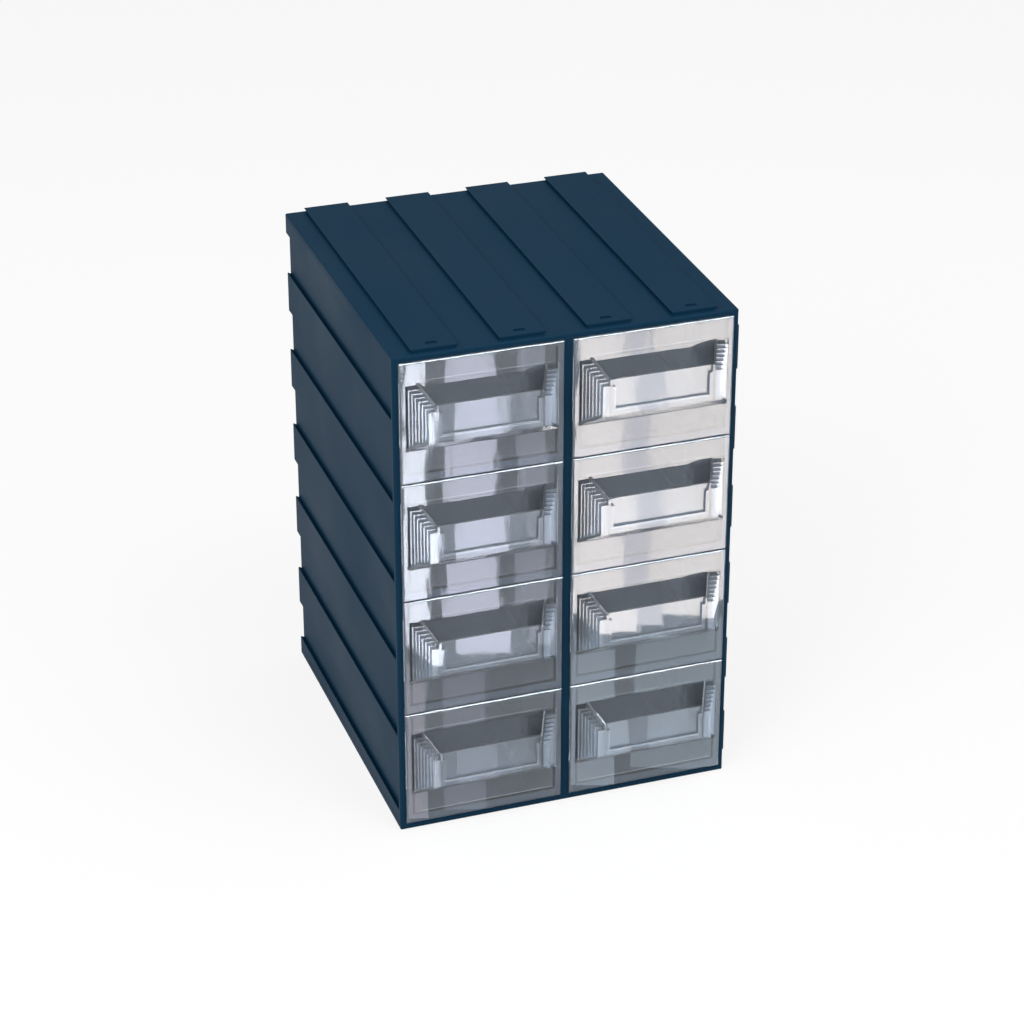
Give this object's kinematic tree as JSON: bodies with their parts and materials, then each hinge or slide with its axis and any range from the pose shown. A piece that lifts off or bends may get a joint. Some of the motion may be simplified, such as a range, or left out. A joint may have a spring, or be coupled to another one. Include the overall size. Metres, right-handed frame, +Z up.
{
  "type": "parts bin cabinet",
  "caption": "Stackable small-parts cabinet: dark blue casing with dovetail ribs and grooves, and clear pull-out drawers with scoop pulls.",
  "frame": {"origin": "The middle of the casing's underside, on the plane that it stands on.", "axes": "+Z is up. The drawers open towards -Y and the back panel faces +Y. +X is the right-hand side as seen from the front."},
  "size_m": [0.21, 0.2383, 0.314],
  "materials": {
    "casing": "dark blue moulded polypropylene with a fine satin grain",
    "clear_drawer": "clear crystal polystyrene, glossy and slightly milky"
  },
  "bodies": {
    "casing": {"left_side_panel": "casing", "right_side_panel": "casing", "top_panel": "casing", "base_panel": "casing", "back_panel": "casing", "centre_partition": "casing", "shelf_left_1": "casing", "shelf_left_2": "casing", "shelf_left_3": "casing", "shelf_right_1": "casing", "shelf_right_2": "casing", "shelf_right_3": "casing"},
    "drawer_left_1": {"drawer_left_1": "clear_drawer"},
    "drawer_left_2": {"drawer_left_2": "clear_drawer"},
    "drawer_left_3": {"drawer_left_3": "clear_drawer"},
    "drawer_left_4": {"drawer_left_4": "clear_drawer"},
    "drawer_right_1": {"drawer_right_1": "clear_drawer"},
    "drawer_right_2": {"drawer_right_2": "clear_drawer"},
    "drawer_right_3": {"drawer_right_3": "clear_drawer"},
    "drawer_right_4": {"drawer_right_4": "clear_drawer"}
  },
  "joints": [
    {"name": "slide_left_1", "type": "slide", "parent": "casing", "child": "drawer_left_1", "axis": [0, -1, 0], "range_m": [0, 0.208]},
    {"name": "slide_left_2", "type": "slide", "parent": "casing", "child": "drawer_left_2", "axis": [0, -1, 0], "range_m": [0, 0.208]},
    {"name": "slide_left_3", "type": "slide", "parent": "casing", "child": "drawer_left_3", "axis": [0, -1, 0], "range_m": [0, 0.208]},
    {"name": "slide_left_4", "type": "slide", "parent": "casing", "child": "drawer_left_4", "axis": [0, -1, 0], "range_m": [0, 0.208]},
    {"name": "slide_right_1", "type": "slide", "parent": "casing", "child": "drawer_right_1", "axis": [0, -1, 0], "range_m": [0, 0.208]},
    {"name": "slide_right_2", "type": "slide", "parent": "casing", "child": "drawer_right_2", "axis": [0, -1, 0], "range_m": [0, 0.208]},
    {"name": "slide_right_3", "type": "slide", "parent": "casing", "child": "drawer_right_3", "axis": [0, -1, 0], "range_m": [0, 0.208]},
    {"name": "slide_right_4", "type": "slide", "parent": "casing", "child": "drawer_right_4", "axis": [0, -1, 0], "range_m": [0, 0.208]}
  ]
}
